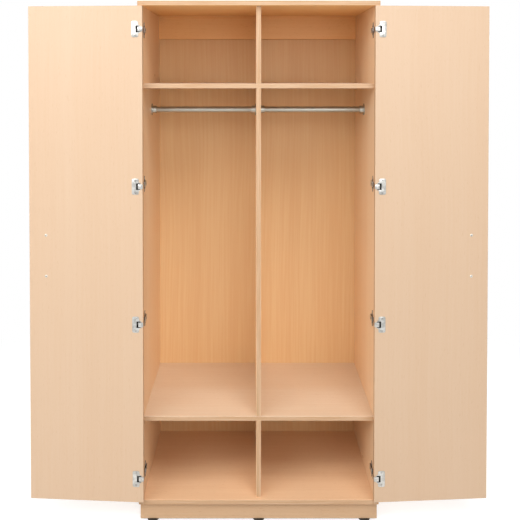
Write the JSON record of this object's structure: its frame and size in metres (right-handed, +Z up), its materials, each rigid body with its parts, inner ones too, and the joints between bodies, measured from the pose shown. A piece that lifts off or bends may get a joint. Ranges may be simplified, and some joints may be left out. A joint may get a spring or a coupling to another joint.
{
  "type": "two-door wardrobe",
  "caption": "Tall coated-board wardrobe with inset doors, hanging rods on both sides of a central divider, shelves above and below, and a low plinth on glides.",
  "frame": {"origin": "on the floor, midway in the width and in the depth of the object as it stands, doors open", "axes": "+Z up, +X to the right seen from the front, +Y from the front to the back"},
  "size_m": [1.7866, 0.6272, 2.038],
  "materials": {
    "beech_laminate": "satin beech-look melamine on chipboard, with banded edges",
    "hardboard": "satin beech-look foil on thin fibreboard",
    "dowel_beech": "bare turned beech",
    "nickel": "nickel-plated steel, satin",
    "rod_chrome": "bright chromed steel",
    "glide_plastic": "black, fine grained",
    "cap_plastic": "brown moulded plastic"
  },
  "bodies": {
    "carcass": {"back_left_glide": "glide_plastic", "back_middle_glide": "glide_plastic", "back_panel": "hardboard", "back_right_glide": "glide_plastic", "bottom_divider": "beech_laminate", "bottom_panel": "beech_laminate", "carcass_dowels": "dowel_beech", "front_left_glide": "glide_plastic", "front_middle_glide": "glide_plastic", "front_right_glide": "glide_plastic", "glide_screws": "nickel", "hanging_divider": "beech_laminate", "hinge_arm_screws": "nickel", "hinge_pins": "nickel", "hinge_plate_screws": "nickel", "hinge_plates": "nickel", "left_hanging_rod": "rod_chrome", "left_lower_hinge_arm": "nickel", "left_lowest_hinge_arm": "nickel", "left_rod_inner_socket": "rod_chrome", "left_rod_outer_socket": "rod_chrome", "left_side": "beech_laminate", "left_top_hinge_arm": "nickel", "left_upper_hinge_arm": "nickel", "left_wall_rail": "beech_laminate", "lower_shelf": "beech_laminate", "plinth_back": "beech_laminate", "plinth_front": "beech_laminate", "plinth_left": "beech_laminate", "plinth_right": "beech_laminate", "right_hanging_rod": "rod_chrome", "right_lower_hinge_arm": "nickel", "right_lowest_hinge_arm": "nickel", "right_rod_inner_socket": "rod_chrome", "right_rod_outer_socket": "rod_chrome", "right_side": "beech_laminate", "right_top_hinge_arm": "nickel", "right_upper_hinge_arm": "nickel", "right_wall_rail": "beech_laminate", "rod_socket_screws": "rod_chrome", "side_cover_caps": "cap_plastic", "top_divider": "beech_laminate", "top_panel": "beech_laminate", "upper_shelf": "beech_laminate"},
    "left_door": {"left_cup_screws": "nickel", "left_door": "beech_laminate", "left_handle": "nickel", "left_handle_screws": "nickel", "left_lower_hinge_cup": "nickel", "left_lowest_hinge_cup": "nickel", "left_top_hinge_cup": "nickel", "left_upper_hinge_cup": "nickel"},
    "right_door": {"right_cup_screws": "nickel", "right_door": "beech_laminate", "right_handle": "nickel", "right_handle_screws": "nickel", "right_lower_hinge_cup": "nickel", "right_lowest_hinge_cup": "nickel", "right_top_hinge_cup": "nickel", "right_upper_hinge_cup": "nickel"}
  },
  "joints": [
    {"name": "left_door_swing", "type": "hinge", "parent": "carcass", "child": "left_door", "pos_m": [-0.4475, -0.2897, 1.054], "axis": [0, 0, 1], "range_deg": [0, 184]},
    {"name": "right_door_swing", "type": "hinge", "parent": "carcass", "child": "right_door", "pos_m": [0.4475, -0.2897, 1.054], "axis": [0, 0, -1], "range_deg": [0, 184]}
  ]
}
